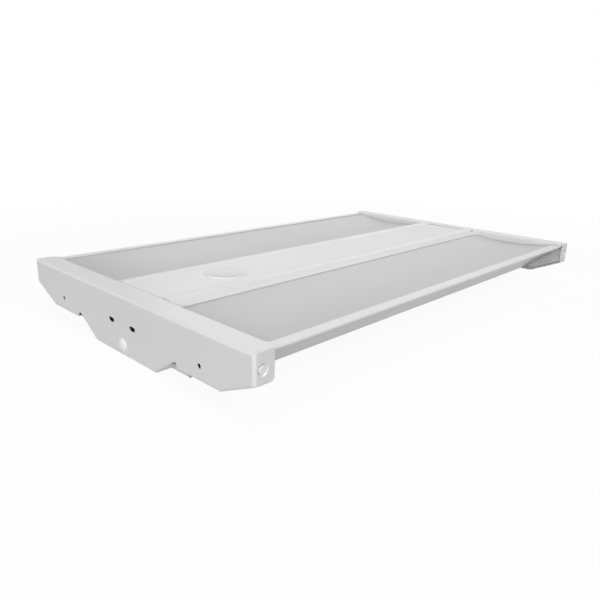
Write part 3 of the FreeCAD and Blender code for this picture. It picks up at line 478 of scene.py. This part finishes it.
def turned(profile, steps):
    """A body spun from (radius, height) points about Z."""
    bm = bmesh.new()
    verts = [bm.verts.new((radius, 0, height)) for radius, height in profile]
    edges = [bm.edges.new(pair) for pair in zip(verts, verts[1:])]
    bmesh.ops.spin(bm, geom=verts + edges, cent=(0, 0, 0), axis=(0, 0, 1), angle=math.tau,
                   steps=steps, use_merge=True)
    bmesh.ops.remove_doubles(bm, verts=bm.verts, dist=WELD)
    return bm


def arc_points(centre, radius, start, end, steps):
    """(radius, height) points along an arc, its angles measured from the outward axis."""
    points = []
    for i in range(steps + 1):
        angle = start + (end - start) * i / steps
        points.append((centre[0] + radius * math.cos(angle), centre[1] + radius * math.sin(angle)))
    return points


def cross_head_screw(radius, height, shank, length, recess):
    """Screw along Z, its crowned head standing on zero, with a cross recess."""
    bm = bmesh.new()
    bmesh.ops.create_grid(bm, x_segments=HEAD_GRID, y_segments=HEAD_GRID, size=1)
    for vert in bm.verts:
        ring = max(abs(vert.co.x), abs(vert.co.y))
        flat = vert.co.xy.normalized() * ring * radius if ring else vert.co.xy
        vert.co = (flat.x, flat.y, height * (1 - CROWN * ring ** 3))
    rim = [edge for edge in bm.edges if edge.is_boundary]
    cross = []
    for face in bm.faces:
        x, y = (abs(c) / radius for c in face.calc_center_median().xy)
        if max(x, y) < CROSS_REACH and min(x, y) < CROSS_HALF:
            cross.append(face)
    for drop, inwards in ((0, 1), (-height * HEAD_SIDE, 1), (0, shank / radius), (-length, 1)):
        grown = bmesh.ops.extrude_edge_only(bm, edges=rim)["geom"]
        verts = [item for item in grown if isinstance(item, bmesh.types.BMVert)]
        rim = [item for item in grown if isinstance(item, bmesh.types.BMEdge)]
        bmesh.ops.scale(bm, vec=(inwards, inwards, 1), verts=verts)
        bmesh.ops.translate(bm, vec=(0, 0, drop), verts=verts)
    bmesh.ops.contextual_create(bm, geom=rim)
    bmesh.ops.inset_region(bm, faces=cross, thickness=radius * CROSS_SLOPE, depth=-recess)
    bmesh.ops.remove_doubles(bm, verts=bm.verts, dist=WELD)
    return bm


# ---- Pieces --------------------------------------------------------------------------------------

class HIGHBAY_OT_sheet_metal(Operator):
    """Powder-coats the housing, the caps, the driver box, the cover and the lens rails"""
    bl_idname = "highbay.sheet_metal"
    bl_label = "Sheet Metal"

    def execute(self, context):
        settings = context.scene.highbay_finish
        # The edge colour, lighter than the white coat, is a painted highlight along the sheet
        # metal's edges, not wear.
        paint = coated_material("White Powder Coat", settings.paint, brighter(settings.paint, 0.35),
                                roughness=settings.paint_roughness, grain=settings.paint_grain,
                                depth=0.012 * MM, wear=0.6)
        for node in PAINTED:
            wear_finish(frame["nodes"][node], paint)
        return {"FINISHED"}


def dished_sheet(low, high, shape, side):
    """The lens's sheet on one side of the light: flat margin, arc, flat margin."""
    inner_y, outer_y = low.y + shape.lens_margin, high.y - shape.lens_margin
    outer_z = high.z - shape.lens_thickness
    inner_z = outer_z - shape.lens_drop
    a, c = Vector((inner_y, inner_z)), Vector((outer_y, outer_z))
    middle = (a + c) / 2
    half = (c - a) / 2
    sag = middle.y - low.z
    radius = (half.length_squared + sag ** 2) / (2 * sag)
    up = Vector((-half.y, half.x)).normalized()
    centre = middle + up * (radius - sag)
    sweep = 2 * math.asin(half.length / radius)

    bm = bmesh.new()
    start = bm.verts.new((low.x, a.x, a.y))
    bmesh.ops.spin(bm, geom=[start], cent=(low.x, centre.x, centre.y), axis=(1, 0, 0), angle=sweep,
                   steps=shape.lens_steps)
    for margin in (-shape.lens_margin, shape.lens_margin):
        pick = min if margin < 0 else max
        end = pick(bm.verts, key=lambda v: v.co.y)
        grown = bmesh.ops.extrude_vert_indiv(bm, verts=[end])["verts"]
        bmesh.ops.translate(bm, vec=(0, margin, 0), verts=grown)
    grown = bmesh.ops.extrude_edge_only(bm, edges=bm.edges[:])["geom"]
    moved = [item for item in grown if isinstance(item, bmesh.types.BMVert)]
    bmesh.ops.translate(bm, vec=(high.x - low.x, 0, 0), verts=moved)
    bmesh.ops.recalc_face_normals(bm, faces=bm.faces)
    if sum(face.normal.z for face in bm.faces) < 0:
        bmesh.ops.reverse_faces(bm, faces=bm.faces)
    bmesh.ops.solidify(bm, geom=bm.faces[:], thickness=-shape.lens_thickness)
    if side < 0:
        bmesh.ops.mirror(bm, geom=bm.verts[:] + bm.edges[:] + bm.faces[:], axis="Y", merge_dist=-1)
        bmesh.ops.delete(bm, geom=[v for v in bm.verts if v.co.y > 0], context="VERTS")
    return bm


class HIGHBAY_OT_lenses(Operator):
    """Builds both dished lenses as smooth frosted sheets"""
    bl_idname = "highbay.lenses"
    bl_label = "Lenses"

    def execute(self, context):
        shape, colours = context.scene.highbay_shape, context.scene.highbay_finish
        frosting = coated_material("Frosted Acrylic", colours.lens, brighter(colours.lens, 0.5),
                                   roughness=colours.lens_roughness, grain=0.5 * MM,
                                   depth=0.004 * MM, wear=0.7, patchiness=0.3, ior=1.49)
        low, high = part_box("lens_left")
        for name, side in (("lens_left", 1), ("lens_right", -1)):
            bm = dished_sheet(low, high, shape, side)
            finish_piece(bm, name + "_sheet", name, frosting)
        return {"FINISHED"}


class HIGHBAY_OT_plugs(Operator):
    """Builds the domed hole plugs and the flat plug of the sensor hole"""
    bl_idname = "highbay.plugs"
    bl_label = "Plugs"

    def execute(self, context):
        shape, colours = context.scene.highbay_shape, context.scene.highbay_finish
        plastic = self.moulded("White Moulded Plastic", colours.plastic, 0.35)
        for name, side in (("hole_plug_near", -1), ("hole_plug_far", 1)):
            self.domed_plug(name, side, shape, plastic)
        self.sensor_plug(shape, self.moulded("Matched White Plastic", colours.disc, 0.4))
        return {"FINISHED"}

    def moulded(self, name, colour, roughness):
        """White plastic in one colour, with the fine skin of a mould."""
        return coated_material(name, colour, brighter(colour, 0.3), roughness=roughness,
                               grain=0.8 * MM, depth=0.003 * MM, wear=0.4, patchiness=0.4)

    def domed_plug(self, name, side, shape, plastic):
        """Snap-in plug: thin-edged dome outside, hollow stem inside the cap."""
        low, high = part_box(name)
        radius = (high.z - low.z) / 2
        rise = DOME_HEIGHT - DOME_RIM
        sphere = (radius ** 2 + rise ** 2) / (2 * rise)
        reach = math.asin(radius / sphere)
        crown = arc_points((0, DOME_HEIGHT - sphere), sphere, math.pi / 2, math.pi / 2 - reach,
                           ARC_STEPS)
        length = (high.x - low.x) - DOME_HEIGHT
        stem = radius * STEM_SHARE
        inside = stem - STEM_WALL
        profile = crown[:-1] + [
            (radius - 0.1 * MM, DOME_RIM + 0.15 * MM),
            (radius, DOME_RIM - 0.1 * MM),
            (radius, 0.1 * MM),
            (radius - 0.15 * MM, 0),
            (stem, 0),
            (stem, 1 * MM - length),
            (stem - STEM_TAPER, -length),
            (inside, -length),
            (inside, -STEM_WALL),
            (0, -STEM_WALL),
        ]
        face = high.x - DOME_HEIGHT if side > 0 else low.x + DOME_HEIGHT
        bm = turned(profile, shape.turn_steps)
        bm.transform(facing((side, 0, 0), (face, 0, (low.z + high.z) / 2)))
        finish_piece(bm, name + "_moulding", name, plastic)

    def sensor_plug(self, shape, plastic):
        """Shallow plug: flat disc, a soft raised rim and a short skirt down through the cover."""
        low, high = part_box("sensor_hole_plug")
        rim = (high.x - low.x) / 2
        skirt = (high.z - low.z) - DISC_TOP
        face = DISC_TOP * 0.45
        outside = rim - SKIRT_INSET
        inside = outside - SKIRT_WALL
        crown = arc_points((rim - DISC_BEAD, DISC_TOP - DISC_BEAD * 0.55), DISC_BEAD,
                           math.pi * 0.78, 0.12, ARC_STEPS)
        crown = [(r, min(h, DISC_TOP)) for r, h in crown]
        profile = [(0, face), (rim - DISC_STEP, face)] + crown + [
            (rim, DISC_TOP * 0.15),
            (rim, 0),
            (outside, 0),
            (outside, -skirt),
            (inside, -skirt),
            (inside, -DISC_WEB),
            (0, -DISC_WEB),
        ]
        bm = turned(profile, shape.turn_steps)
        centre = (low + high) / 2
        bm.transform(Matrix.Translation((centre.x, centre.y, high.z - DISC_TOP)))
        finish_piece(bm, "sensor_hole_plug_moulding", "sensor_hole_plug", plastic)


class HIGHBAY_OT_outer_screws(Operator):
    """Builds the cross-recessed screws in the corner dimples and under the wings"""
    bl_idname = "highbay.outer_screws"
    bl_label = "Outer Screws"

    def execute(self, context):
        shape, colours = context.scene.highbay_shape, context.scene.highbay_finish
        coat = coated_material("Painted Screw", colours.screw, colours.zinc, roughness=0.32,
                               grain=0.6 * MM, depth=0.003 * MM, wear=0.5)
        low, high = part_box("corner_screws")
        radius = (high.z - low.z) / 2
        depth = shape.corner_height
        spots = [facing((0, side, 0), (end * (high.x - radius), side * (high.y - depth),
                                       low.z + radius))
                 for end in (-1, 1) for side in (-1, 1)]
        self.screws("corner_screws", radius, depth, CORNER_SHANK, CORNER_LENGTH, spots, shape, coat)

        low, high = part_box("cap_screws")
        radius = shape.pan_head
        spots = [facing((0, 0, -1), (end * (high.x - radius), side * (high.y - radius),
                                     low.z + shape.pan_height))
                 for end in (-1, 1) for side in (-1, 1)]
        length = high.z - low.z - shape.pan_height
        self.screws("cap_screws", radius, shape.pan_height, CAP_SHANK, length, spots, shape, coat)
        return {"FINISHED"}

    def screws(self, node, radius, height, shank, length, spots, shape, coat):
        """One stamped screw in each of its places."""
        bm = bmesh.new()
        copied_in(bm, cross_head_screw(radius, height, shank, length, shape.recess), spots)
        finish_piece(bm, node + "_cross_head", node, coat)


class HIGHBAY_OT_inner_parts(Operator):
    """Finishes the boards, the driver, the leads and the plated fixings inside"""
    bl_idname = "highbay.inner_parts"
    bl_label = "Inner Parts"

    def execute(self, context):
        colours = context.scene.highbay_finish
        zinc = coated_material("Zinc Plate", colours.zinc, brighter(colours.zinc, 0.4),
                               roughness=0.36, grain=2.5 * MM, depth=0.004 * MM, wear=0.5,
                               patchiness=1.0, metallic=1.0)
        board = coated_material("Board Solder Mask", SOLDER_MASK, MASK_EDGE, roughness=0.4,
                                grain=1.5 * MM, depth=0.004 * MM, wear=0.6, patchiness=0.4)
        phosphor = coated_material("LED Phosphor", PHOSPHOR, PHOSPHOR_EDGE, roughness=0.45,
                                   grain=0.4 * MM, depth=0.004 * MM, wear=0.8, patchiness=0.2)
        aluminium = coated_material("Driver Aluminium", ALUMINIUM, ALUMINIUM_EDGE, roughness=0.38,
                                    grain=1.2 * MM, depth=0.01 * MM, wear=0.5)
        nylon = coated_material("Connector Nylon", NYLON, NYLON_EDGE, roughness=0.48,
                                grain=0.9 * MM, depth=0.006 * MM, wear=0.5)
        jacket = coated_material("Lead Jacket", JACKET, JACKET_EDGE, roughness=0.5,
                                 grain=0.9 * MM, depth=0.008 * MM, wear=0.5)
        rubber = coated_material("Rubber", RUBBER, RUBBER_EDGE, roughness=0.7,
                                 grain=0.7 * MM, depth=0.01 * MM, wear=0.5)
        finishes = [("led_chips_left", phosphor), ("led_chips_right", phosphor),
                    ("led_driver", aluminium), ("lead_grommets", rubber)]
        for nodes, material in ((PLATED, zinc), (BOARDS, board), (LEADS, jacket),
                                (NYLON_PIECES, nylon)):
            finishes += [(node, material) for node in nodes]
        for node, material in finishes:
            wear_finish(frame["nodes"][node], material)
        return {"FINISHED"}


# ---- Studio --------------------------------------------------------------------------------------

def aim(thing, target):
    """Points a lamp at a place."""
    way = Vector(target) - thing.location
    thing.rotation_euler = way.to_track_quat("-Z", "Y").to_euler()


def soft_lamp(name, place, target, size, power):
    """A soft rectangular lamp aimed at a place."""
    data = bpy.data.lights.new(name, "AREA")
    data.shape = "RECTANGLE"
    data.size, data.size_y = size
    data.energy = power
    lamp = bpy.data.objects.new(name, data)
    bpy.context.scene.collection.objects.link(lamp)
    lamp.location = place
    aim(lamp, target)


class HIGHBAY_OT_studio(Operator):
    """Sets the floor, the lamps, the even sky and the camera"""
    bl_idname = "highbay.studio"
    bl_label = "Studio"

    def execute(self, context):
        studio = context.scene.highbay_studio
        self.place_floor(studio)
        self.light_sky(studio)
        target = (CAD_BOX[0] + CAD_BOX[1]) / 2
        for name, place, size, power in (
                ("Key Lamp", studio.key_place, SQUARE_LAMP, studio.key_power),
                ("Top Lamp", studio.top_place, SQUARE_LAMP, studio.top_power),
                ("Front Panel", studio.front_place, FRONT_PANEL, studio.front_power),
                ("Rear Panel", studio.rear_place, REAR_PANEL, studio.rear_power)):
            soft_lamp(name, place, target, size, power)
        self.place_camera(studio)
        context.scene.view_settings.view_transform = "Standard"
        return {"FINISHED"}

    def place_floor(self, studio):
        """Floor that shows white, keeps a share of the shadow and throws back less light."""
        bm = bmesh.new()
        bmesh.ops.create_grid(bm, x_segments=4, y_segments=4, size=FLOOR_REACH)
        mesh = bpy.data.meshes.new("floor")
        bm.to_mesh(mesh)
        bm.free()
        floor = bpy.data.objects.new("floor", mesh)
        bpy.context.scene.collection.objects.link(floor)
        material = bpy.data.materials.new("Studio Floor")
        material.use_nodes = True
        tree = material.node_tree
        tree.nodes.clear()
        output = add_node(tree, "ShaderNodeOutputMaterial", (6, 0))
        matt = add_node(tree, "ShaderNodeBsdfDiffuse", (4, 1))
        white = add_node(tree, "ShaderNodeEmission", (4, 2), Color=(1, 1, 1, 1), Strength=1.0)
        path = add_node(tree, "ShaderNodeLightPath", (0, 0))
        place = add_node(tree, "ShaderNodeTexCoord", (0, 2))
        away = add_node(tree, "ShaderNodeVectorMath", (0, 1))
        away.operation = "LENGTH"
        tree.links.new(place.outputs["Object"], away.inputs[0])
        lift = ease(tree, (1, 1), away.outputs["Value"], SHADE_NEAR, SHADE_FAR,
                    1 - studio.shadow, 1.0)
        direct = times(tree, (2, 1), path.outputs["Is Camera Ray"], lift)
        seen = either(tree, (3, 0), (direct, path.outputs["Is Glossy Ray"],
                                     path.outputs["Is Transmission Ray"]))
        colour = add_node(tree, "ShaderNodeMix", (3, 2))
        colour.data_type = "RGBA"
        colour.inputs["A"].default_value = (*studio.bounce, 1)
        colour.inputs["B"].default_value = (*studio.floor, 1)
        tree.links.new(path.outputs["Is Camera Ray"], colour.inputs["Factor"])
        tree.links.new(colour.outputs["Result"], matt.inputs["Color"])
        mix = add_node(tree, "ShaderNodeMixShader", (5, 0))
        tree.links.new(seen, mix.inputs[0])
        tree.links.new(matt.outputs[0], mix.inputs[1])
        tree.links.new(white.outputs[0], mix.inputs[2])
        tree.links.new(mix.outputs[0], output.inputs["Surface"])
        wear_finish(floor, material)

    def light_sky(self, studio):
        """Even grey light from all round, and plain white where the background itself is seen."""
        world = bpy.data.worlds.new("Studio Sky")
        bpy.context.scene.world = world
        world.use_nodes = True
        tree = world.node_tree
        tree.nodes.clear()
        output = add_node(tree, "ShaderNodeOutputWorld", (4, 0))
        even = add_node(tree, "ShaderNodeBackground", (2, 0), Color=(1, 1, 1, 1),
                        Strength=studio.sky)
        white = add_node(tree, "ShaderNodeBackground", (2, 1), Color=(1, 1, 1, 1), Strength=1.0)
        path = add_node(tree, "ShaderNodeLightPath", (0, 0))
        mix = add_node(tree, "ShaderNodeMixShader", (3, 0))
        seen = either(tree, (1, 0), [path.outputs[ray] for ray in (
            "Is Camera Ray", "Is Glossy Ray", "Is Transmission Ray")])
        tree.links.new(seen, mix.inputs[0])
        tree.links.new(even.outputs[0], mix.inputs[1])
        tree.links.new(white.outputs[0], mix.inputs[2])
        tree.links.new(mix.outputs[0], output.inputs["Surface"])

    def place_camera(self, studio):
        """Low three-quarter view over the near end cap's right corner."""
        data = bpy.data.cameras.new("Camera")
        data.lens = studio.focal_length
        data.sensor_width = FILM_WIDTH
        camera = bpy.data.objects.new("Camera", data)
        bpy.context.scene.collection.objects.link(camera)
        camera.location = studio.camera_place
        level = math.cos(studio.camera_pitch)
        way = Vector((math.cos(studio.camera_heading) * level,
                      math.sin(studio.camera_heading) * level,
                      -math.sin(studio.camera_pitch)))
        turn = way.to_track_quat("-Z", "Y").to_matrix().to_4x4()
        camera.rotation_euler = (turn @ Matrix.Rotation(studio.camera_roll, 4, "Z")).to_euler()
        bpy.context.scene.camera = camera


# ---- Panel and registration ----------------------------------------------------------------------

PIECE_OPERATORS = (HIGHBAY_OT_sheet_metal, HIGHBAY_OT_lenses, HIGHBAY_OT_plugs,
                   HIGHBAY_OT_outer_screws, HIGHBAY_OT_inner_parts, HIGHBAY_OT_studio)


class HIGHBAY_PT_panel(Panel):
    """Lists the pieces and their settings in the sidebar"""
    bl_idname = "HIGHBAY_PT_panel"
    bl_label = "Linear High Bay"
    bl_space_type = "VIEW_3D"
    bl_region_type = "UI"
    bl_category = "High Bay"

    def draw(self, context):
        scene = context.scene
        for settings in (scene.highbay_finish, scene.highbay_shape, scene.highbay_studio):
            column = self.layout.column(align=True)
            for name in settings.__annotations__:
                column.prop(settings, name)
        for operator in PIECE_OPERATORS:
            self.layout.operator(operator.bl_idname)


CLASSES = (HighBayFinish, HighBayShape, HighBayStudio, *PIECE_OPERATORS, HIGHBAY_PT_panel)


def register():
    for cls in CLASSES:
        bpy.utils.register_class(cls)
    bpy.types.Scene.highbay_finish = PointerProperty(type=HighBayFinish)
    bpy.types.Scene.highbay_shape = PointerProperty(type=HighBayShape)
    bpy.types.Scene.highbay_studio = PointerProperty(type=HighBayStudio)


def unregister():
    for name in ("highbay_finish", "highbay_shape", "highbay_studio"):
        delattr(bpy.types.Scene, name)
    for cls in reversed(CLASSES):
        bpy.utils.unregister_class(cls)


def main():
    """Registers the add-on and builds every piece"""
    register()
    bpy.ops.highbay.sheet_metal()
    bpy.ops.highbay.lenses()
    bpy.ops.highbay.plugs()
    bpy.ops.highbay.outer_screws()
    bpy.ops.highbay.inner_parts()
    bpy.ops.highbay.studio()


if __name__ == "__main__":
    main()
